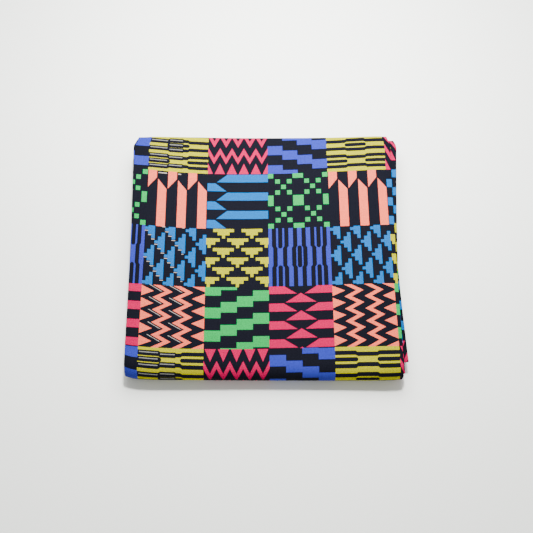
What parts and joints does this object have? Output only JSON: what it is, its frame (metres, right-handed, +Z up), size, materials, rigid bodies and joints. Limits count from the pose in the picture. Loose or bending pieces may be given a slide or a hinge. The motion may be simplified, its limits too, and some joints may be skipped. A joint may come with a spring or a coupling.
{
  "type": "folded length of printed cotton fabric",
  "caption": "Length of African print cotton folded into a flat bundle, one smooth fold wrapping the stacked layers.",
  "frame": {"origin": "on the surface under the middle of the bundle's box", "axes": "+Z up, X along the smooth wrapping fold, -Y towards that fold"},
  "size_m": [0.2922, 0.2717, 0.028],
  "materials": {
    "printed_cotton": "plain-woven cotton with a bright geometric print on a dark ground"
  },
  "bodies": {
    "root": {"cloth": "printed_cotton"}
  },
  "joints": []
}
